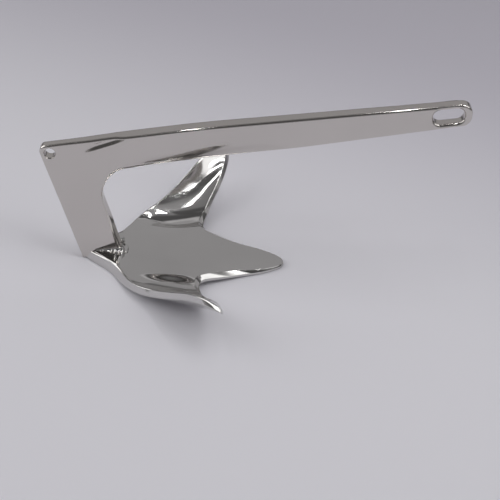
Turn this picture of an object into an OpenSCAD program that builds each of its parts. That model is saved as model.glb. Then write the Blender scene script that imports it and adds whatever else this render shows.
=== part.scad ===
// Claw anchor of polished stainless steel, standing free on its palm.
// Millimetres, +Z up, +X from the heel to the shackle end, +Y to port.
// The origin is on the ground under the middle of the overall length.

/* [Shank] */
// Length of the shank, before the heel corner is rounded
length = 421; // [410:1:430]
// Height of the heel corner above the ground, before it is rounded
heel_height = 135; // [130:0.5:140]
// Slope of the top edge between the heel and the bend, in degrees
heel_slope = 11.3; // [10.5:0.1:12]
// Slope of the top edge between the bend and the shackle end, in degrees
top_slope = 9.1; // [8.8:0.1:9.6]
// Distance of the bend in the top edge from the heel
bend_x = 160; // [140:1:180]
// Radius of the bend in the top edge
bend_radius = 1400; // [800:50:1600]
// Height at which the line of the lower edge passes the heel
under_height = 95.2; // [93:0.2:97]
// Slope of the straight lower edge, in degrees
under_slope = 12.1; // [11.8:0.1:12.4]
// Rounding radius of the heel corner
heel_radius = 7; // [4:0.5:8]
// Rounding radius of the two corners at the shackle end
end_radius = 10; // [6:0.5:10.5]
// Radius of the elbow between the lower edge and the leg
elbow_radius = 33; // [20:1:38]

/* [Leg] */
// Distance of the foot's back corner from the heel, along the ground
foot_x = 41; // [40:0.5:42]
// Backward lean of the leg from the vertical, in degrees
leg_lean = 17.2; // [16.8:0.1:17.6]
// Width of the leg, measured level
leg_width = 45.5; // [43:0.5:48]
// Clearance under the foot
foot_gap = 1; // [0.5:0.1:1.5]

/* [Thickness] */
// Thickness of the shank at the heel
heel_t = 10.5; // [9:0.1:12]
// Thickness of the shank at the elbow
elbow_t = 15; // [13:0.1:16]
// Thickness of the shank at the shackle end
end_t = 12; // [11:0.1:14]
// Thickness of the palm and the side flukes
claw_t = 8; // [7:0.1:9]
// Thickness of the centre fluke at its tip
tip_t = 4.5; // [4:0.1:6]

/* [Holes] */
// Diameter of the trip-line hole in the heel
trip_d = 11; // [8:0.5:12]
// Distance of the trip-line hole from the heel
trip_x = 11.5; // [11:0.5:13]
// Height of the trip-line hole above the ground
trip_z = 128; // [127:0.5:129]
// Length of the shackle slot
slot_length = 31; // [26:0.5:33]
// Width of the shackle slot
slot_width = 16; // [12:0.5:16.5]
// Distance of the slot's middle from the shackle end
slot_inset = 22.3; // [21.5:0.1:24]
// Height of the slot's middle above the ground
slot_z = 193.2; // [192.5:0.1:194]

/* [Claw] */
// Width of the bevel along the rear rim
rear_bevel = 5; // [3:0.5:6]
// Rise of the palm's face between its rear rim and its front edge
palm_crown = 2.5; // [1:0.5:4]
// Hollow of a side fluke's face between its rear rim and its front edge
fluke_hollow = 3.5; // [0:0.5:4]
// Depth of the crease along the fold in the upper face
fold_dip = 2; // [0:0.5:3]
// Bow of the fold between the palm and a side fluke, towards the middle of the palm
fold_bow = 7; // [0:0.5:9]

/* [Welds] */
// Width of the foot weld on the palm, at the front of the foot
weld_width = 22; // [14:0.5:23]
// Height of the foot weld on the leg
weld_height = 6.5; // [4:0.5:8]
// Height and width of the weld in front of the foot
toe_height = 5; // [3:0.5:6]
// Width of the ground seam welds between the palm and the side flukes
seam_width = 3.5; // [2.5:0.5:4.5]

/* [Hidden] */
$fn = 48;

// Lower edge of the rear rim, from the middle of the crown to a side fluke's tip
RIM = [[41, 0, 0], [47, 8, 0], [56, 16, 0], [66, 24, 0], [75, 34, 0.4], [83, 47, 1.5], [93, 61, 5],
       [106, 74, 9.5], [121, 87, 17.5], [138, 103, 29.7], [155, 121, 43.5], [171, 137, 51.5], [187, 151, 54.5]];
// Lower front edge, from the middle of the centre fluke's tip to a side fluke's tip
FRONT = [[252.5, 0, 0], [248, 8.5, 0], [232, 17.5, 0.2], [212, 25, 1.2], [190, 34.5, 3.5], [169, 44, 5],
         [165.5, 57, 4.5], [169.5, 74, 7], [175, 90, 14], [181.5, 105, 22.5], [187, 121, 32], [190, 137, 42],
         [188.5, 150.5, 53.5]];
// Share of the rear bevel's full width, at the same stations
REAR_SHARE = [1, 1, 1, 1, 1, 1, 0.8, 0.5, 0.3, 0.2, 0.2, 0.2, 0.2];
// Width and drop of the bevel along the front edge, at the same stations
FRONT_BEVEL = [1.2, 1.5, 3.5, 10, 12, 6.5, 5, 4, 4, 4, 4, 4, 3];
FRONT_DROP = [1.5, 1.8, 2.6, 4, 5, 4.8, 4.5, 3.6, 3.6, 3.6, 3.6, 3.6, 2.7];
// Thickness added to the plate at the rear rim and at the front edge, at the same stations
REAR_EXTRA = [1, 2, 3, 3, 3, 2, 1, 1, 0.5, 0, 0, -0.5, -4];
FRONT_EXTRA = [tip_t - claw_t, tip_t - claw_t, 0.7 + tip_t - claw_t, 2 + tip_t - claw_t, -0.6, 0, 0, 0, 0, 0, 0, -1, -4];
// Station of the folds between the palm and the side flukes
FOLD = 6;
// Station of a side fluke's tip
TIP = 12;
// Rings between two stations, and columns from the rear rim to the front edge
RINGS = 4;
COLUMNS = 13;
// Length of one station along the fold, for the width of the seam
STATION_LENGTH = 18;

// ---- helpers ----

function unit(v) = v / norm(v);

// Entry of a list, mirrored to the other half of the claw below zero
function at(list, i) =
    let (v = list[min(abs(i), len(list) - 1)])
    is_num(v) ? v : [v.x, i < 0 ? -v.y : v.y, v.z];
// Value of a list between its entries, on a smooth curve
function smooth(list, s) =
    let (i = min(floor(s), len(list) - 2), u = s - i,
         a = at(list, i - 1), b = at(list, i), c = at(list, i + 1),
         d = i + 2 < len(list) ? at(list, i + 2) : 2 * c - b)
    (2 * b + (c - a) * u + (2 * a - 5 * b + 4 * c - d) * u * u + (3 * b - a - 3 * c + d) * u * u * u) / 2;

// Points of an arc that rounds the corner b between a and c
function rounded(a, b, c, r, steps = 10) =
    let (u = unit(a - b), v = unit(c - b),
         half = acos(u * v) / 2,
         centre = b + unit(u + v) * r / sin(half),
         start = atan2((b + u * r / tan(half) - centre).y, (b + u * r / tan(half) - centre).x),
         stop = atan2((b + v * r / tan(half) - centre).y, (b + v * r / tan(half) - centre).x),
         turn = (stop - start + 540) % 360 - 180)
    [for (i = [0:steps]) centre + r * [cos(start + turn * i / steps), sin(start + turn * i / steps)]];

// Solid skinned over rings of equal length, closed by a strip of quads at each end
module skin(rings) {
    n = len(rings[0]);
    half = n / 2;
    last = (len(rings) - 1) * n;
    polyhedron(
        points = [for (ring = rings) each ring],
        faces = concat(
            [for (k = [0:len(rings) - 2], i = [0:n - 1]) let (a = k * n, j = (i + 1) % n)
                each [[a + i, a + j, a + n + j], [a + i, a + n + j, a + n + i]]],
            [for (i = [0:half - 2]) each [[i + 1, i, n - 1 - i], [i + 1, n - 1 - i, n - 2 - i]]],
            [for (i = [0:half - 2]) each [[last + i, last + i + 1, last + n - 1 - i],
                                          [last + i + 1, last + n - 2 - i, last + n - 1 - i]]]));
}

// ---- shank ----

// Edge lines of the side view, each as a point at the heel's x and a direction
function under_z(x) = under_height + x * tan(under_slope);
function heel_line_z(x) = heel_height + x * tan(heel_slope);
function back_x(z) = foot_x - z * tan(leg_lean);

heel_z = (heel_height + foot_x * tan(heel_slope)) / (1 + tan(leg_lean) * tan(heel_slope));
bend = [bend_x, heel_line_z(bend_x)];
elbow_z = (under_height + (foot_x + leg_width) * tan(under_slope)) / (1 + tan(leg_lean) * tan(under_slope));
heel = [back_x(heel_z), heel_z];
top_end = [length, bend.y + (length - bend_x) * tan(top_slope)];
under_end = [length, under_z(length)];
elbow = [back_x(elbow_z) + leg_width, elbow_z];
toe = [back_x(foot_gap) + leg_width, foot_gap];
foot = [back_x(foot_gap), foot_gap];

module side_outline() {
    polygon(concat(
        [foot],
        rounded(foot, heel, bend, heel_radius),
        rounded(heel, bend, top_end, bend_radius, 6),
        rounded(bend, top_end, under_end, end_radius),
        rounded(top_end, under_end, elbow, end_radius),
        rounded(under_end, elbow, toe, elbow_radius, 20),
        [toe]));
}

// Plan of the plate, which is thin at the heel and thickest at the elbow
module plan_outline() {
    edge = [[-5, heel_t / 2], [38, heel_t / 2], [85, elbow_t / 2], [130, elbow_t / 2], [length + 5, end_t / 2]];
    polygon(concat(edge, [for (i = [len(edge) - 1:-1:0]) [edge[i].x, -edge[i].y]]));
}

module trip_hole() {
    translate([trip_x, 0, trip_z]) rotate([90, 0, 0]) cylinder(d = trip_d, h = 2 * elbow_t, center = true);
}

module shackle_slot() {
    run = slot_length - slot_width;
    translate([length - slot_inset, 0, slot_z]) rotate([90, -(top_slope + under_slope) / 2, 0]) {
        cube([run, slot_width, 2 * elbow_t], center = true);
        for (side = [-1, 1])
            translate([side * run / 2, 0, 0]) cylinder(d = slot_width, h = 2 * elbow_t, center = true);
    }
}

module plate() {
    intersection() {
        rotate([90, 0, 0]) linear_extrude(height = 2 * elbow_t, center = true) side_outline();
        translate([0, 0, -5]) linear_extrude(height = 2 * heel_height) plan_outline();
    }
}

module shank() {
    color("gainsboro") place() difference() {
        plate();
        trip_hole();
        shackle_slot();
    }
}

// ---- claw ----

// Across the plate, square to the line of stations
function across(s) =
    let (step = 0.2, a = max(s - step, 0), b = min(s + step, TIP),
         run = smooth(RIM, b) + smooth(FRONT, b) - smooth(RIM, a) - smooth(FRONT, a))
    unit([0, -run.z, run.y]);

// Curve of the plate from the rear rim (t = 0) to the front edge (t = 1): the palm thickens towards its
// middle, a side fluke is hollow, and the fold bows sideways by an amount that fades out beside it
function hump(t) = 4 * t * (1 - t);
function fluke_share(s) = let (u = min(max((s - FOLD + 3) / 4, 0), 1)) u * u * (3 - 2 * u);
function crown(s, t) = hump(t) * (1 - fluke_share(s)) * palm_crown;
function hollow(s, t) = hump(t) * fluke_share(s) * fluke_hollow * min(TIP - s, 3) / 3;
function crease(s, t) = fold_dip * max(1 - abs(s - FOLD), 0) * min(t / 0.15, 1);
function bow(s, t) = let (near = max(1 - abs(s - FOLD) / 4, 0)) hump(t) * fold_bow * near * near;

// One ring of the claw: the upper face from rear to front, down the bevel to the front edge, then the
// lower face back again
function ring(s, side) =
    let (r = smooth(RIM, s), f = smooth(FRONT, s), reach = norm(f - r), along = (f - r) / reach,
         up = across(s), rear = min(rear_bevel * smooth(REAR_SHARE, s), 0.35 * reach),
         fore = min(smooth(FRONT_BEVEL, s), 0.35 * reach),
         rear_t = claw_t + smooth(REAR_EXTRA, s), fore_t = claw_t + smooth(FRONT_EXTRA, s),
         edge_t = max(fore_t - smooth(FRONT_DROP, s), 0.3 * fore_t))
    [for (k = [0:2 * COLUMNS + 1])
        let (upper = k < COLUMNS, lip = k == COLUMNS,
             t = upper ? k / (COLUMNS - 1) : lip ? 1 : (2 * COLUMNS + 1 - k) / COLUMNS,
             run = upper ? rear + t * (reach - rear - fore) : t * reach,
             lift = upper ? rear_t + t * (fore_t - rear_t) + crown(s, t) - crease(s, t) : lip ? edge_t : 0,
             p = r + along * run + up * lift - [0, bow(s, t), hollow(s, t)])
        [p.x, side * p.y, p.z]];

// Stretch of the claw between two stations, where a station below zero is on the starboard side
module claw(from, to) {
    steps = max(1, round((to - from) * RINGS));
    skin([for (k = [steps:-1:0]) let (s = from + (to - from) * k / steps) ring(abs(s), s < 0 ? -1 : 1)]);
}

seam = seam_width / STATION_LENGTH / 2;

module palm() {
    color("lightgray") place() difference() {
        claw(seam - FOLD, FOLD - seam);
        plate();
    }
}

module port_fluke() { color("silver") place() claw(FOLD + seam, TIP); }
module starboard_fluke() { color("silver") place() claw(-TIP, -FOLD - seam); }
module port_seam_weld() { color("darkgray") place() claw(FOLD - seam, FOLD + seam); }
module starboard_seam_weld() { color("darkgray") place() claw(-FOLD - seam, seam - FOLD); }

// ---- foot welds ----

// Height of the foot welds' outer edges on the palm, and how deep a bead is rooted in its neighbours
palm_z = claw_t + 3.5;
root = 3;

// Hollow curve of a fillet, from a wall at x = 0 down to the ground at y = 0
function fillet_curve(width, height) = [for (a = [90:-15:0]) [width * (1 - sin(a)), height * (1 - cos(a))]];

// Fillet along one side of the foot: a point at the back that grows towards the front
module side_fillet(side) {
    back = [54, heel_t / 2 + 1];
    front = [back_x(palm_z) + leg_width, elbow_t / 2];
    sections = 8;
    rings = [for (k = [0:sections])
        let (u = k / sections, size = 0.08 + 0.92 * u, base = back + (front - back) * u)
        [for (p = concat([[-root, weld_height * size]], fillet_curve(weld_width * size, weld_height * size),
                         [[weld_width * size, -root], [-root, -root]]))
            [base.x - 0.2 * p.x, side * (base.y + p.x), palm_z + p.y]]];
    skin(side > 0 ? rings : [for (k = [sections:-1:0]) rings[k]]);
}

module port_foot_weld() { foot_weld() side_fillet(1); }
module starboard_foot_weld() { foot_weld() side_fillet(-1); }

// Bead trimmed to what lies clear of the palm and the shank
module foot_weld() {
    color("darkgray") place() difference() {
        children();
        claw(-FOLD, FOLD);
        plate();
    }
}

// Bead across the front face of the foot, which it follows as it leans
module toe_weld() {
    section = concat(fillet_curve(toe_height, toe_height), [[toe_height, -root], [0, -root]]);
    color("darkgray") place() difference() {
        rotate([90, 0, 0]) linear_extrude(height = 0.9 * elbow_t, center = true)
            polygon([for (p = section) [back_x(palm_z + p.y) + leg_width + p.x, palm_z + p.y]]);
        claw(-FOLD, FOLD);
    }
}

// Moves the middle of the overall length to the origin
module place() {
    heel_back = min([for (p = rounded(foot, heel, bend, heel_radius)) p.x]);
    translate([-(heel_back + length) / 2, 0, 0]) children();
}

shank();
palm();
port_fluke();
starboard_fluke();
port_seam_weld();
starboard_seam_weld();
port_foot_weld();
starboard_foot_weld();
toe_weld();
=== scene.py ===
import math

import bmesh
import bpy
import numpy as np
from mathutils import Matrix, Vector


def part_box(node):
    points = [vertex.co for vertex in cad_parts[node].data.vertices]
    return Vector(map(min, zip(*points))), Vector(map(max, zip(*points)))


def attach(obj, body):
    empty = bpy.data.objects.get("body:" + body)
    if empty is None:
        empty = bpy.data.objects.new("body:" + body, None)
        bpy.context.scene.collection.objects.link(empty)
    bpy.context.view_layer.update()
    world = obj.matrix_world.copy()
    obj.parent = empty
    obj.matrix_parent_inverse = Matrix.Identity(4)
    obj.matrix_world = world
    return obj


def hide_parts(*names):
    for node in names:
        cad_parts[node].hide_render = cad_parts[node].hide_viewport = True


# Claw anchor of mirror-polished stainless steel.
# Shapes are worked out in millimetres from the heel, as in the CAD source, and become metres when a
# mesh is made. +X runs from the heel to the shackle end, +Y to port, +Z up.

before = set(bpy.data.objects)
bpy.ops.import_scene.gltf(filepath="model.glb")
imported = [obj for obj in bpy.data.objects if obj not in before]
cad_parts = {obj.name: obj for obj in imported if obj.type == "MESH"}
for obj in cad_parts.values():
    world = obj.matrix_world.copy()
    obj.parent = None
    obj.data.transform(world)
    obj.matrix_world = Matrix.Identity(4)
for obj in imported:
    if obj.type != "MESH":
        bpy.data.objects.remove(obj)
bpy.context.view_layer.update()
MM = 0.001

# ---- driving dimensions ----

LENGTH = 421.0
HEEL_HEIGHT = 135.0
HEEL_SLOPE = math.radians(11.3)
TOP_SLOPE = math.radians(9.1)
BEND_X = 160.0
BEND_RADIUS = 1400.0
UNDER_HEIGHT = 95.2
UNDER_SLOPE = math.radians(12.1)
HEEL_RADIUS = 7.0
END_RADIUS = 10.0
ELBOW_RADIUS = 33.0
FOOT_X = 41.0
LEG_LEAN = math.radians(17.2)
LEG_WIDTH = 45.5
FOOT_GAP = 1.0
HEEL_T = 10.5
ELBOW_T = 15.0
END_T = 12.0
TRIP_D = 11.0
TRIP = (11.5, 128.0)
SLOT_LENGTH = 31.0
SLOT_WIDTH = 16.0
SLOT = (LENGTH - 22.3, 193.2)
CLAW_T = 8.0
TIP_T = 4.5
FOLD_DIP = 2.0
PALM_CROWN = 2.5
FLUKE_HOLLOW = 3.5
FOLD_BOW = 7.0
WELD_WIDTH = 22.0
WELD_HEIGHT = 6.5
TOE_HEIGHT = 5.0
SEAM_WIDTH = 3.5
PALM_Z = CLAW_T + 3.5

# Rounding of the shank's top edge, of its other edges and of the window under the elbow
EDGE_ROUND = 2.6
SIDE_ROUND = 1.3
WINDOW_ROUND = 5.5
# Rounding of the holes' rims
HOLE_ROUND = {"trip": 1.3, "slot": 3.0}
# Two points of the diagonal shoulder where the bar's near face drops to the thin web of the heel
SHOULDER = ((40.0, 129.3), (93.0, 153.0))
SHOULDER_RUN = 2.0
SHOULDER_DEPTH = 2.3
# Where the shoulder's relief is full, and the share of it that fades out above the shoulder
SHOULDER_FULL = (58, 74)
SHOULDER_FADE = 0.85
# Height and depth of the soft roll of the bar's faces towards the lower edge, and where along the
# bar it grows and fades
ROLL_HEIGHT = 16.0
ROLL_DEPTH = 3.2
ROLL_GROWS = (84, 112)
ROLL_FADES = (200, 270)
# Where the window's wide rounding fades along the bar, grows up the leg, and returns at the foot
WINDOW_FADES = (150, 235)
WINDOW_GROWS = (95, 112)
FOOT_FADES = (30, 55)
FOOT_SHARE = 0.8

# The row's origin is under the middle of the length, so this moves the heel's datum to its place.
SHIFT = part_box("shank")[1].x / MM - LENGTH


# ---- helpers ----

def unit(v):
    return v / np.linalg.norm(v)


def rounded(a, b, c, r, steps=14):
    """Points of an arc that rounds the corner b between a and c."""
    a, b, c = (np.array(p, float) for p in (a, b, c))
    u, v = unit(a - b), unit(c - b)
    half = math.acos(float(np.clip(u @ v, -1, 1))) / 2
    centre = b + unit(u + v) * r / math.sin(half)
    p, q = b + u * r / math.tan(half) - centre, b + v * r / math.tan(half) - centre
    start = math.atan2(p[1], p[0])
    turn = (math.atan2(q[1], q[0]) - start + 3 * math.pi) % (2 * math.pi) - math.pi
    angles = start + turn * np.linspace(0, 1, steps + 1)
    return [centre + r * np.array([math.cos(t), math.sin(t)]) for t in angles]


def closed_loop(points, step):
    """The closed outline with its long straight stretches cut into steps."""
    out = []
    for p, q in zip(points, points[1:] + points[:1]):
        n = max(1, int(np.linalg.norm(q - p) / step))
        out += [p + (q - p) * k / n for k in range(n)]
    return np.array(out)


def loop_normals(loop):
    """Outward normals of a closed outline that runs clockwise."""
    ahead = np.roll(loop, -1, 0) - loop
    behind = loop - np.roll(loop, 1, 0)
    ahead /= np.linalg.norm(ahead, axis=1)[:, None]
    behind /= np.linalg.norm(behind, axis=1)[:, None]
    t = ahead + behind
    t /= np.linalg.norm(t, axis=1)[:, None]
    return np.stack([-t[:, 1], t[:, 0]], 1)


def smoothstep(x, low, high):
    t = np.clip((x - low) / (high - low), 0, 1)
    return t * t * (3 - 2 * t)


def hump(t):
    return 4 * t * (1 - t)


def facing(face, points, normals):
    """The face's corners in the order that turns it the way its normals point."""
    p = points[face]
    area = sum(np.cross(p[k] - p[0], p[k + 1] - p[0]) for k in range(1, len(p) - 1))
    return face if area @ normals[face].sum(0) >= 0 else face[::-1]


def piece(name, points, faces, normals, material, nodes):
    """A mesh piece with its own normals that stands for CAD nodes."""
    mesh = bpy.data.meshes.new(name)
    points, normals = np.asarray(points, float), np.asarray(normals, float)
    faces = [facing(f, points, normals) for f in faces]
    mesh.from_pydata([tuple(p) for p in (points + [SHIFT, 0, 0]) * MM], [], faces)
    mesh.polygons.foreach_set("use_smooth", [True] * len(mesh.polygons))
    mesh.validate()
    normals /= np.maximum(np.linalg.norm(normals, axis=1), 1e-9)[:, None]
    mesh.normals_split_custom_set_from_vertices([tuple(v) for v in normals])
    mesh.materials.append(material)
    obj = bpy.data.objects.new(name, mesh)
    bpy.context.scene.collection.objects.link(obj)
    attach(obj, "root")
    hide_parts(*nodes)
    return obj


# ---- materials ----

def steel(name, colour, roughness, grain, line_depth, wave_depth, tint=0.03):
    """Polished stainless steel: soft waves and fine polishing lines, stretched by the grain's scale."""
    mat = bpy.data.materials.new(name)
    mat.use_nodes = True
    nodes, links = mat.node_tree.nodes, mat.node_tree.links
    shader = nodes["Principled BSDF"]
    shader.inputs["Metallic"].default_value = 1.0

    def node(kind, **values):
        n = nodes.new(kind)
        for key, value in values.items():
            n.inputs[key].default_value = value
        return n

    place = nodes.new("ShaderNodeTexCoord")
    along = node("ShaderNodeMapping", Scale=grain)
    links.new(place.outputs["Object"], along.inputs["Vector"])
    lines = node("ShaderNodeTexNoise", Scale=260.0, Detail=5.0, Roughness=0.65)
    links.new(along.outputs["Vector"], lines.inputs["Vector"])
    clouds = node("ShaderNodeTexNoise", Scale=9.0, Detail=3.0, Roughness=0.5)
    links.new(place.outputs["Object"], clouds.inputs["Vector"])
    waves = node("ShaderNodeTexNoise", Scale=14.0, Detail=1.0, Roughness=0.4)
    links.new(place.outputs["Object"], waves.inputs["Vector"])

    tone = nodes.new("ShaderNodeValToRGB")
    tone.color_ramp.elements[0].position = 0.3
    tone.color_ramp.elements[1].position = 0.7
    tone.color_ramp.elements[0].color = [c * (1 - tint) for c in colour] + [1]
    tone.color_ramp.elements[1].color = [min(1, c * (1 + tint)) for c in colour] + [1]
    links.new(clouds.outputs["Fac"], tone.inputs["Fac"])
    links.new(tone.outputs["Color"], shader.inputs["Base Color"])

    gloss = node("ShaderNodeMapRange")
    gloss.inputs["From Min"].default_value = 0.3
    gloss.inputs["From Max"].default_value = 0.7
    gloss.inputs["To Min"].default_value = roughness * 0.75
    gloss.inputs["To Max"].default_value = roughness * 1.3
    links.new(lines.outputs["Fac"], gloss.inputs["Value"])
    links.new(gloss.outputs["Result"], shader.inputs["Roughness"])

    wave_bump = node("ShaderNodeBump", Strength=1.0, Distance=wave_depth * MM)
    links.new(waves.outputs["Fac"], wave_bump.inputs["Height"])
    line_bump = node("ShaderNodeBump", Strength=1.0, Distance=line_depth * MM)
    links.new(lines.outputs["Fac"], line_bump.inputs["Height"])
    links.new(wave_bump.outputs["Normal"], line_bump.inputs["Normal"])
    links.new(line_bump.outputs["Normal"], shader.inputs["Normal"])
    return mat


STEEL = (0.63, 0.62, 0.61)
SATIN = (0.63, 0.60, 0.575)
SHANK_STEEL = steel("shank_steel", SATIN, 0.10, (0.05, 1.0, 1.0), 0.003, 0.05)
CLAW_STEEL = steel("claw_steel", STEEL, 0.09, (0.06, 1.0, 1.0), 0.004, 0.10, tint=0.05)
WELD_STEEL = steel("weld_steel", STEEL, 0.11, (1.0, 0.3, 1.0), 0.008, 0.08, tint=0.06)


# ---- shank ----

def under_z(x):
    return UNDER_HEIGHT + x * math.tan(UNDER_SLOPE)


def heel_line_z(x):
    return HEEL_HEIGHT + x * math.tan(HEEL_SLOPE)


def back_x(z):
    return FOOT_X - z * math.tan(LEG_LEAN)


def side_outline():
    """Corners and arcs of the side view, clockwise from the foot."""
    lean = math.tan(LEG_LEAN)
    heel_z = heel_line_z(FOOT_X) / (1 + lean * math.tan(HEEL_SLOPE))
    elbow_z = under_z(FOOT_X + LEG_WIDTH) / (1 + lean * math.tan(UNDER_SLOPE))
    heel = (back_x(heel_z), heel_z)
    bend = (BEND_X, heel_line_z(BEND_X))
    top_end = (LENGTH, bend[1] + (LENGTH - BEND_X) * math.tan(TOP_SLOPE))
    under_end = (LENGTH, under_z(LENGTH))
    elbow = (back_x(elbow_z) + LEG_WIDTH, elbow_z)
    toe = (back_x(FOOT_GAP) + LEG_WIDTH, FOOT_GAP)
    foot = (back_x(FOOT_GAP), FOOT_GAP)
    return ([np.array(foot)]
            + rounded(foot, heel, bend, HEEL_RADIUS)
            + rounded(heel, bend, top_end, BEND_RADIUS, 24)
            + rounded(bend, top_end, under_end, END_RADIUS)
            + rounded(top_end, under_end, elbow, END_RADIUS)
            + rounded(under_end, elbow, toe, ELBOW_RADIUS, 36)
            + [np.array(toe)])


def half_thickness(x):
    """Half the plate's thickness at a distance from the heel, eased where the taper changes."""
    spread = np.array([-1.0, -0.5, 0.0, 0.5, 1.0]) * 9.0
    at = [-40, 38, 85, 130, LENGTH + 40]
    t = [HEEL_T, HEEL_T, ELBOW_T, ELBOW_T, END_T]
    return sum(np.interp(x + d, at, t) for d in spread) / len(spread) / 2


def half_width(x, z, side):
    """Half thickness less the roll to the lower edge and the starboard side's shoulder relief."""
    (ax, az), (bx, bz) = SHOULDER
    length = math.hypot(bx - ax, bz - az)
    above = ((z - az) * (bx - ax) - (x - ax) * (bz - az)) / length
    full_from, full_to = SHOULDER_FULL
    relief = SHOULDER_DEPTH * smoothstep(x, ax, full_from) * (1 - smoothstep(x, full_to, bx))
    relief = relief * smoothstep(above, -SHOULDER_RUN, SHOULDER_RUN)
    relief = relief * (1 - SHOULDER_FADE * smoothstep(above, SHOULDER_RUN, 4 * SHOULDER_RUN))
    low = np.clip(1 - (z - under_z(x)) * math.cos(UNDER_SLOPE) / ROLL_HEIGHT, 0, 1)
    along = smoothstep(x, *ROLL_GROWS) * (1 - smoothstep(x, *ROLL_FADES))
    return half_thickness(x) - relief * (side < 0) - ROLL_DEPTH * low ** 2 * along


def window_share(p):
    """Share of the window's wide rounding: 1 under the elbow, less at the foot, 0 at other edges."""
    x, z = p[:, 0], p[:, 1]
    low = 1 - smoothstep(z - under_z(x), 2, 10)
    ahead = smoothstep(x - back_x(z), LEG_WIDTH * 0.6, LEG_WIDTH * 0.95)
    window = low * (1 - smoothstep(x, *WINDOW_FADES)) * smoothstep(z, *WINDOW_GROWS)
    foot = 1 - smoothstep(z, *FOOT_FADES)
    return ahead * (window + FOOT_SHARE * foot)


def arc_hole(centre, angles, r):
    return [np.array(centre) + r * np.array([math.cos(t), math.sin(t)]) for t in angles]


def trip_outline():
    """Anticlockwise, so that its normals point into the hole."""
    return arc_hole(TRIP, np.linspace(0, 2 * math.pi, 48, endpoint=False), TRIP_D / 2)


def slot_outline():
    tilt = (TOP_SLOPE + UNDER_SLOPE) / 2
    run = (SLOT_LENGTH - SLOT_WIDTH) / 2 * np.array([math.cos(tilt), math.sin(tilt)])
    right = np.linspace(tilt - math.pi / 2, tilt + math.pi / 2, 25)
    return (arc_hole(np.array(SLOT) + run, right, SLOT_WIDTH / 2)
            + arc_hole(np.array(SLOT) - run, right + math.pi, SLOT_WIDTH / 2))


def cut(bm, point, normal):
    everything = bm.verts[:] + bm.edges[:] + bm.faces[:]
    bmesh.ops.bisect_plane(bm, geom=everything, plane_co=point, plane_no=normal, dist=1e-5)


def shank_face():
    """Flat inside of a side face, sliced along its length, and its border loops."""
    bm = bmesh.new()
    layer = {key: bm.verts.layers.float.new(key) for key in ("nx", "nz", "r")}
    edges = []
    for points, kind in ((side_outline(), "rim"), (trip_outline(), "trip"), (slot_outline(), "slot")):
        loop = closed_loop(points, 5.0)
        normal = loop_normals(loop)
        if kind == "rim":
            r = SIDE_ROUND + (EDGE_ROUND - SIDE_ROUND) * smoothstep(normal[:, 1], 0.3, 0.8)
            r = r + (WINDOW_ROUND - SIDE_ROUND) * window_share(loop)
        else:
            r = np.full(len(loop), HOLE_ROUND[kind])
        ring = []
        for p, n, radius in zip(loop, normal, r):
            q = p - n * radius
            v = bm.verts.new((q[0], 0.0, q[1]))
            v[layer["nx"]], v[layer["nz"]], v[layer["r"]] = n[0], n[1], radius
            ring.append(v)
        edges += [bm.edges.new((a, b)) for a, b in zip(ring, ring[1:] + ring[:1])]
    bmesh.ops.triangle_fill(bm, use_beauty=True, edges=edges)
    for x in np.arange(-8.0, LENGTH, 4.0):
        cut(bm, (x, 0, 0), (1, 0, 0))
    slope = np.array([-math.sin(UNDER_SLOPE), 0.0, math.cos(UNDER_SLOPE)])
    for k in np.arange(3.0, ROLL_HEIGHT + 1, 1.5):
        cut(bm, np.array([0.0, 0.0, UNDER_HEIGHT]) + slope * k, slope)
    (ax, az), (bx, bz) = SHOULDER
    across = unit(np.array([az - bz, 0.0, bx - ax]))
    for k in np.append(np.linspace(-1.2, 1.2, 13), [1.7, 2.2, 2.7, 3.2, 3.7, 4.2]):
        cut(bm, np.array([ax, 0.0, az]) + across * SHOULDER_RUN * k, across)
    return bm, layer


def shank():
    bm, layer = shank_face()
    bm.verts.index_update()
    flat = np.array([v.co for v in bm.verts], float)
    count = len(flat)
    info = np.array([[v[layer["nx"]], v[layer["nz"]], v[layer["r"]]] for v in bm.verts])
    x, z, d = flat[:, 0], flat[:, 2], 0.1
    half = {side: half_width(x, z, side) for side in (-1, 1)}
    points, normals, faces = [], [], []
    for side in (-1, 1):
        base = len(points)
        slope_x = (half_width(x + d, z, side) - half_width(x - d, z, side)) / (2 * d)
        slope_z = (half_width(x, z + d, side) - half_width(x, z - d, side)) / (2 * d)
        for p, h, sx, sz in zip(flat, half[side], slope_x, slope_z):
            points.append((p[0], side * h, p[2]))
            normals.append((-sx, side, -sz))
        for f in bm.faces:
            faces.append([base + v.index for v in f.verts])
    border = [e for e in bm.edges if len(e.link_faces) == 1]
    steps = 14
    rows = {}
    for i in sorted({v.index for e in border for v in e.verts}):
        nx, nz, r = info[i]
        n = unit(np.array([nx, nz]))
        for side in (-1, 1):
            row = [i + (count if side > 0 else 0)]
            for k in range(1, steps + 1):
                a = math.pi / 2 * (1 - k / steps)
                out = r * math.cos(a)
                row.append(len(points))
                points.append((flat[i][0] + n[0] * out,
                               side * (half[side][i] - r + r * math.sin(a)),
                               flat[i][2] + n[1] * out))
                normals.append((n[0] * math.cos(a), side * math.sin(a), n[1] * math.cos(a)))
            rows[i, side] = row
    for e in border:
        across_a, across_b = (rows[v.index, -1] + rows[v.index, 1][::-1] for v in e.verts)
        for k in range(len(across_a) - 1):
            faces.append([across_b[k], across_a[k], across_a[k + 1], across_b[k + 1]])
    bm.free()
    return piece("shank_polished", points, faces, normals, SHANK_STEEL, ["shank"])


# ---- claw ----

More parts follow.
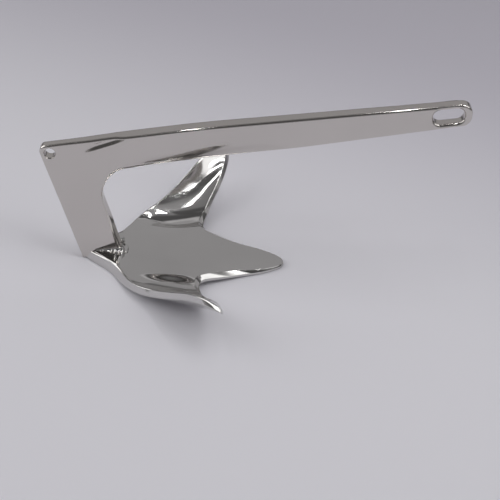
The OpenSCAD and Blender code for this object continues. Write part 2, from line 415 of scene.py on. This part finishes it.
# Lower rear rim from the middle of the crown to a side fluke's tip, and lower front edge from the
# middle of the centre fluke's tip to the same tip
RIM = np.array([[41, 0, 0], [47, 8, 0], [56, 16, 0], [66, 24, 0], [75, 34, 0.4], [83, 47, 1.5],
                [93, 61, 5], [106, 74, 9.5], [121, 87, 17.5], [138, 103, 29.7], [155, 121, 43.5],
                [171, 137, 51.5], [187, 151, 54.5]], float)
FRONT = np.array([[252.5, 0, 0], [248, 8.5, 0], [232, 17.5, 0.2], [212, 25, 1.2], [190, 34.5, 3.5],
                  [169, 44, 5], [165.5, 57, 4.5], [169.5, 74, 7], [175, 90, 14], [181.5, 105, 22.5],
                  [187, 121, 32], [190, 137, 42], [188.5, 150.5, 53.5]], float)
# At each station: width of the bevels along the rear and front edges, thickness added at both
REAR_BEVEL = np.array([5, 5, 5, 5, 5, 5, 4, 2.5, 1.5, 1, 1, 1, 1], float)
FRONT_BEVEL = np.array([1.2, 1.5, 3.5, 10, 12, 6.5, 5, 4, 4, 4, 4, 4, 3], float)
REAR_EXTRA = np.array([1, 2, 3, 3, 3, 2, 1, 1, 0.5, 0, 0, -0.5, -4], float)
FRONT_EXTRA = np.array([TIP_T - CLAW_T, TIP_T - CLAW_T, 0.7 + TIP_T - CLAW_T, 2 + TIP_T - CLAW_T,
                        -0.6, 0, 0, 0, 0, 0, 0, -1, -4], float)
# Station of the fold between the palm and a side fluke
FOLD = 6
# Reach of the crease in stations, on the palm's side and on the fluke's side
CREASE = (1.0, 0.9)
# Station of a fluke's tip, and the length of its rounded cap and the height of its crown
TIP = 12
TIP_CAP = 0.7
TIP_CROWN = 1.2
# Mean distance between two stations near the fold
STATION_LENGTH = 18.0
SEAM = SEAM_WIDTH / STATION_LENGTH / 2
# Rings between two stations, and points along the upper and lower faces
RINGS = 10
UPPER = 26
LOWER = 10
CORNER = 5
# Roundings of the section's corners: lower rear, upper rear, upper front, lip, lower front
CORNER_R = (1.4, 2.2, 1.6, 1.0, 0.8)
# Drop of the bevel along the front edge
FRONT_DROP = np.array([1.5, 1.8, 2.6, 4.0, 5.0, 4.8, 4.5, 3.6, 3.6, 3.6, 3.6, 3.6, 2.7], float)


def at(values, i):
    v = values[min(abs(i), len(values) - 1)]
    return v * [1, -1, 1] if values.ndim == 2 and i < 0 else v


def smooth(values, s):
    """Value of a list between its entries, on a smooth curve."""
    i = min(int(math.floor(s)), len(values) - 2)
    u = s - i
    a, b, c = at(values, i - 1), at(values, i), at(values, i + 1)
    d = at(values, i + 2) if i + 2 < len(values) else 2 * c - b
    square, cube = 2 * a - 5 * b + 4 * c - d, 3 * b - a - 3 * c + d
    return (2 * b + (c - a) * u + square * u ** 2 + cube * u ** 3) / 2


def across(s):
    """Across the plate, square to the line of stations."""
    a, b = max(s - 0.2, 0), min(s + 0.2, TIP)
    run = smooth(RIM, b) + smooth(FRONT, b) - smooth(RIM, a) - smooth(FRONT, a)
    return unit(np.array([0, -run[2], run[1]]))


def corner(a, b, c, r):
    """Rounds the section's corner b, never past the middle of its sides."""
    a, b, c = np.array(a, float), np.array(b, float), np.array(c, float)
    u, v = unit(a - b), unit(c - b)
    half = math.acos(float(np.clip(u @ v, -1, 1))) / 2
    room = 0.45 * min(np.linalg.norm(a - b), np.linalg.norm(c - b)) * math.tan(half)
    return rounded(a, b, c, min(r, room), CORNER)


def ring(s, side):
    """One closed section of the claw, clockwise from the lower rear corner."""
    r, f = smooth(RIM, s), smooth(FRONT, s)
    reach = np.linalg.norm(f - r)
    along, up = (f - r) / reach, across(s)
    rear = min(smooth(REAR_BEVEL, s), 0.35 * reach)
    fore = min(smooth(FRONT_BEVEL, s), 0.35 * reach)
    rear_t, fore_t = CLAW_T + smooth(REAR_EXTRA, s), CLAW_T + smooth(FRONT_EXTRA, s)
    low_rear, high_rear = (0, 0), (rear, rear_t)
    high_front, low_front = (reach - fore, fore_t), (reach, 0)
    lip = (reach, max(fore_t - smooth(FRONT_DROP, s), 0.3 * fore_t))
    arcs = [corner(low_front, low_rear, high_rear, CORNER_R[0]),
            corner(low_rear, high_rear, high_front, CORNER_R[1]),
            corner(high_rear, high_front, lip, CORNER_R[2]),
            corner(high_front, lip, low_front, CORNER_R[3]),
            corner(lip, low_front, low_rear, CORNER_R[4])]
    section = list(arcs[0]) + list(arcs[1])
    section += [arcs[1][-1] + (arcs[2][0] - arcs[1][-1]) * k / UPPER for k in range(1, UPPER)]
    section += list(arcs[2]) + list(arcs[3]) + list(arcs[4])
    section += [arcs[4][-1] + (arcs[0][0] - arcs[4][-1]) * k / LOWER for k in range(1, LOWER)]
    share = smoothstep(s, FOLD - 3, FOLD + 1)
    near = max(1 - abs(s - FOLD) / 4, 0)
    crease = max(1 - (FOLD - s) / CREASE[0] if s < FOLD else 1 - (s - FOLD) / CREASE[1], 0)
    points = []
    for k, (run, lift) in enumerate(section):
        upper = CORNER < k < 3 * (CORNER + 1) + UPPER
        t = (run - rear) / (reach - rear - fore) if upper else run / reach
        t = min(max(t, 0), 1)
        crown = hump(t) * (1 - share) * PALM_CROWN if upper else 0
        sink = share * FLUKE_HOLLOW * min(TIP - s, 3) / 3 - TIP_CROWN * smoothstep(s, 9.5, 11.5)
        hollow = hump(t) * sink
        valley = FOLD_DIP * crease * min(t / 0.15, 1) if upper else 0
        p = r + along * run + up * (lift + crown - valley)
        p = p - [0, hump(t) * FOLD_BOW * near ** 2, hollow]
        points.append([p[0], side * p[1], p[2]])
    return np.array(points)


def stations():
    """Stations from the starboard tip to the port tip, with a ring on each side of a seam."""
    half = [k / RINGS for k in range(TIP * RINGS + 1)]
    half += [FOLD - SEAM, FOLD + SEAM]
    half = sorted(set(half))
    return [-s for s in half[:0:-1]] + half


def grid_normals(grid):
    """Normals of a grid that closes on itself round each ring."""
    round_ = np.roll(grid, -1, 1) - np.roll(grid, 1, 1)
    along = np.gradient(grid, axis=0)
    n = np.cross(round_, along)
    return n / np.maximum(np.linalg.norm(n, axis=2), 1e-9)[:, :, None]


def claw():
    s = stations()
    grid = np.array([ring(abs(v), -1 if v < 0 else 1) for v in s])
    normal = grid_normals(grid)
    middle = grid.mean(1, keepdims=True)
    if ((grid - middle) * normal).sum() < 0:
        normal = -normal
    s = np.array(s)
    parts = [("starboard_fluke", -TIP, -FOLD - SEAM), ("starboard_seam_weld", -FOLD - SEAM, SEAM - FOLD),
             ("palm", SEAM - FOLD, FOLD - SEAM), ("port_seam_weld", FOLD - SEAM, FOLD + SEAM),
             ("port_fluke", FOLD + SEAM, TIP)]
    for name, low, high in parts:
        take = np.where((s > low - 1e-6) & (s < high + 1e-6))[0]
        rows, normals = grid[take], normal[take]
        if name.endswith("fluke"):
            rows, normals = capped(rows, normals, at_start=low == -TIP)
        n = rows.shape[1]
        faces = []
        for j in range(len(rows) - 1):
            for k in range(n):
                m = (k + 1) % n
                faces.append([j * n + k, (j + 1) * n + k, (j + 1) * n + m, j * n + m])
        for end in (0, len(rows) - 1):
            faces.append([end * n + k for k in range(n)])
        slot = "palm_steel" if name == "palm" else "fluke_steel"
        material = CLAW_STEEL
        if "weld" in name:
            slot, material = "weld_steel", WELD_STEEL
        points, normals = rows.reshape(-1, 3), normals.reshape(-1, 3)
        piece(name + "_polished", points, faces, normals, material, [name])


def capped(rows, normals, at_start):
    """Rounds a fluke's tip off with shrinking rings."""
    end = 0 if at_start else -1
    last, before = rows[end], rows[1 if at_start else -2]
    out = unit(last.mean(0) - before.mean(0))
    middle = last.mean(0)
    extra, extra_n = [], []
    for k in range(1, 6):
        a = math.pi / 2 * k / 6
        extra.append(middle + (last - middle) * math.cos(a) + out * TIP_CAP * math.sin(a))
        extra_n.append(normals[end] * math.cos(a) + out * math.sin(a))
    extra, extra_n = np.array(extra), np.array(extra_n)
    if at_start:
        return np.concatenate([extra[::-1], rows]), np.concatenate([extra_n[::-1], normals])
    return np.concatenate([rows, extra]), np.concatenate([normals, extra_n])


# ---- foot welds ----

# Distance of the side welds' rear end from the heel
SIDE_WELD_START = 54


def sheet_piece(name, grid, node):
    """A closed bead whose rings run along it; each ring closes on itself."""
    rows, n = grid.shape[0], grid.shape[1]
    normal = grid_normals(grid)
    if ((grid - grid.mean(1, keepdims=True)) * normal).sum() < 0:
        normal = -normal
    faces = []
    for j in range(rows - 1):
        for k in range(n):
            m = (k + 1) % n
            faces.append([j * n + k, (j + 1) * n + k, (j + 1) * n + m, j * n + m])
    for end in (0, rows - 1):
        faces.append([end * n + k for k in range(n)])
    return piece(name, grid.reshape(-1, 3), faces, normal.reshape(-1, 3), WELD_STEEL, [node])


def side_weld(side, node):
    """Flared fillet beside the foot, with the slight ripples of a ground bead."""
    back = np.array([SIDE_WELD_START, HEEL_T / 2 + 1])
    front = np.array([back_x(PALM_Z) + LEG_WIDTH, ELBOW_T / 2])
    rows = []
    for u in np.linspace(0, 1.06, 40):
        size = 0.08 + 0.92 * min(u, 1)
        drop = math.sqrt(max(0.0, 1 - (max(u - 0.97, 0) / 0.09) ** 2)) if u > 0.97 else 1.0
        base = back + (front - back) * u
        width, height = WELD_WIDTH * size, WELD_HEIGHT * size * drop
        ripple = 0.25 * math.sin(u * 19) + 0.15 * math.sin(u * 41 + 1)
        section = [(-3, height)]
        for a in np.linspace(math.pi / 2, 0, 19):
            bulge = ripple * math.sin(2 * a) * size
            section.append((width * (1 - math.sin(a)), height * (1 - math.cos(a)) + bulge))
        section += [(width, -2.0), (-3, -2.0)]
        rows.append([(base[0] - 0.2 * p, side * (base[1] + p), PALM_Z + q) for p, q in section])
    sheet_piece(node + "_polished", np.array(rows), node)


def toe_weld():
    rows = []
    for v in np.linspace(-1, 1, 21):
        end = math.sqrt(max(0.0, 1 - v ** 4))
        y = v * 0.45 * ELBOW_T
        size = TOE_HEIGHT * (0.5 + 0.5 * end) * (1 + 0.06 * math.sin(v * 7))
        angles = np.linspace(math.pi / 2, 0, 13)
        section = [(size * (1 - math.sin(a)), size * (1 - math.cos(a))) for a in angles]
        section += [(size, -2.0), (-2.0, -2.0), (-2.0, size)]
        rows.append([(back_x(PALM_Z + q) + LEG_WIDTH + p, y, PALM_Z + q) for p, q in section])
    sheet_piece("toe_weld_polished", np.array(rows), "toe_weld")


# ---- scene ----

# Azimuth, elevation and roll in degrees, the point aimed at (along and above the ground) and its
# distance
CAMERA_ANGLES = (-2.113, 37.0, 4.05)
CAMERA_TARGET = (216.106, 16.932)
CAMERA_DISTANCE = 1262.854


def aim_camera():
    """Camera at the photograph's angle."""
    azimuth, elevation, roll = (math.radians(a) for a in CAMERA_ANGLES)
    target = Vector((CAMERA_TARGET[0] + SHIFT, 0, CAMERA_TARGET[1])) * MM
    distance = CAMERA_DISTANCE * MM
    back = Vector((math.sin(azimuth) * math.cos(elevation), -math.cos(azimuth) * math.cos(elevation),
                   math.sin(elevation)))
    right = Vector((math.cos(azimuth), math.sin(azimuth), 0))
    up = back.cross(right)
    data = bpy.data.cameras.new("camera")
    data.sensor_width = 36.0
    data.lens = 86.4
    data.clip_end = 50.0
    camera = bpy.data.objects.new("camera", data)
    turned_right = right * math.cos(roll) + up * math.sin(roll)
    turned_up = up * math.cos(roll) - right * math.sin(roll)
    matrix = Matrix((turned_right, turned_up, back)).transposed().to_4x4()
    matrix.translation = target + back * distance
    camera.matrix_world = matrix
    bpy.context.scene.collection.objects.link(camera)
    bpy.context.scene.camera = camera


def floor():
    bm = bmesh.new()
    bmesh.ops.create_grid(bm, x_segments=24, y_segments=24, size=4.0)
    mesh = bpy.data.meshes.new("floor")
    bm.to_mesh(mesh)
    bm.free()
    obj = bpy.data.objects.new("floor", mesh)
    bpy.context.scene.collection.objects.link(obj)
    mat = bpy.data.materials.new("floor_matte")
    mat.use_nodes = True
    shader = mat.node_tree.nodes["Principled BSDF"]
    nodes, links = mat.node_tree.nodes, mat.node_tree.links
    place = nodes.new("ShaderNodeTexCoord")
    # Painted shade: the floor's colour goes from pale to darker towards the back right, standing in for
    # the light falling off there
    painted_falloff = nodes.new("ShaderNodeVectorMath")
    painted_falloff.operation = "DOT_PRODUCT"
    painted_falloff.inputs[1].default_value = (0.45, 0.9, 0.0)
    links.new(place.outputs["Object"], painted_falloff.inputs[0])
    tone = nodes.new("ShaderNodeValToRGB")
    tone.color_ramp.elements[0].color = (0.80, 0.79, 0.84, 1)
    tone.color_ramp.elements[1].color = (0.60, 0.58, 0.645, 1)
    tone.color_ramp.elements[1].position = 0.6
    tone.color_ramp.interpolation = "EASE"
    links.new(painted_falloff.outputs["Value"], tone.inputs["Fac"])
    links.new(tone.outputs["Color"], shader.inputs["Base Color"])
    shader.inputs["Roughness"].default_value = 0.9
    shader.inputs["Specular IOR Level"].default_value = 0.1
    mesh.materials.append(mat)


def panel_light(name, place, size, watts, turn=None):
    """Rectangular light that faces the anchor, or straight down and turned about the vertical."""
    data = bpy.data.lights.new(name, "AREA")
    data.shape = "RECTANGLE"
    data.size, data.size_y = size
    data.energy = watts
    obj = bpy.data.objects.new(name, data)
    obj.location = place
    if turn is None:
        obj.rotation_euler = Vector(place).to_track_quat("Z", "Y").to_euler()
    else:
        obj.rotation_euler = (0, 0, turn)
    bpy.context.scene.collection.objects.link(obj)


def world_light():
    """Soft room light in bands that run over the anchor from behind it to the camera's side."""
    world = bpy.data.worlds.new("studio")
    bpy.context.scene.world = world
    world.use_nodes = True
    nodes, links = world.node_tree.nodes, world.node_tree.links
    place = nodes.new("ShaderNodeTexCoord")
    split = nodes.new("ShaderNodeSeparateXYZ")
    links.new(place.outputs["Generated"], split.inputs["Vector"])
    angle = nodes.new("ShaderNodeMath")
    angle.operation = "ARCTAN2"
    links.new(split.outputs["Z"], angle.inputs[0])
    links.new(split.outputs["Y"], angle.inputs[1])
    turn = nodes.new("ShaderNodeMath")
    turn.operation = "DIVIDE"
    turn.inputs[1].default_value = math.pi
    links.new(angle.outputs["Value"], turn.inputs[0])
    ramp = nodes.new("ShaderNodeValToRGB")
    links.new(turn.outputs["Value"], ramp.inputs["Fac"])
    while len(ramp.color_ramp.elements) < len(SKY):
        ramp.color_ramp.elements.new(0.5)
    for element, (degrees, value) in zip(ramp.color_ramp.elements, SKY):
        element.position = degrees / 180
        element.color = (value, value * 0.985, value * 1.0, 1)
    links.new(ramp.outputs["Color"], nodes["Background"].inputs["Color"])
    nodes["Background"].inputs["Strength"].default_value = 1.0


# Brightness of the room by the angle over the anchor, from the horizon behind it (0 degrees) through
# overhead (90) to the horizon on the camera's side (180)
SKY = ((0, 0.12), (8, 0.14), (14, 0.35), (30, 0.37), (50, 0.37), (56, 0.37), (58, 0.60), (60, 0.55),
       (62, 0.08), (76, 0.10), (80, 0.22), (100, 0.22), (106, 0.08), (130, 0.06), (155, 0.10), (180, 0.40))

bpy.context.scene.view_settings.view_transform = "Standard"
aim_camera()
floor()
world_light()
# The two tubes on the right are turned about the vertical
TUBE_TURN = math.radians(23.3)
panel_light("left_tube", (-0.48, -0.12, 1.5), (0.025, 0.45), 0.9, 0)
panel_light("middle_tube", (0.03, -0.10, 1.5), (0.025, 0.5), 0.95, 0)
panel_light("near_tube", (0.38, -0.15, 1.5), (0.02, 1.1), 1.6, TUBE_TURN)
panel_light("right_tube", (0.72, -0.15, 1.5), (0.05, 1.1), 2.6, TUBE_TURN)
panel_light("left_box", (-2.15, -0.2, 1.5), (2.1, 2.3), 27.0)
panel_light("right_box", (1.72, -0.65, 1.72), (1.5, 1.6), 9.5)
shank()
claw()
side_weld(1, "port_foot_weld")
side_weld(-1, "starboard_foot_weld")
toe_weld()
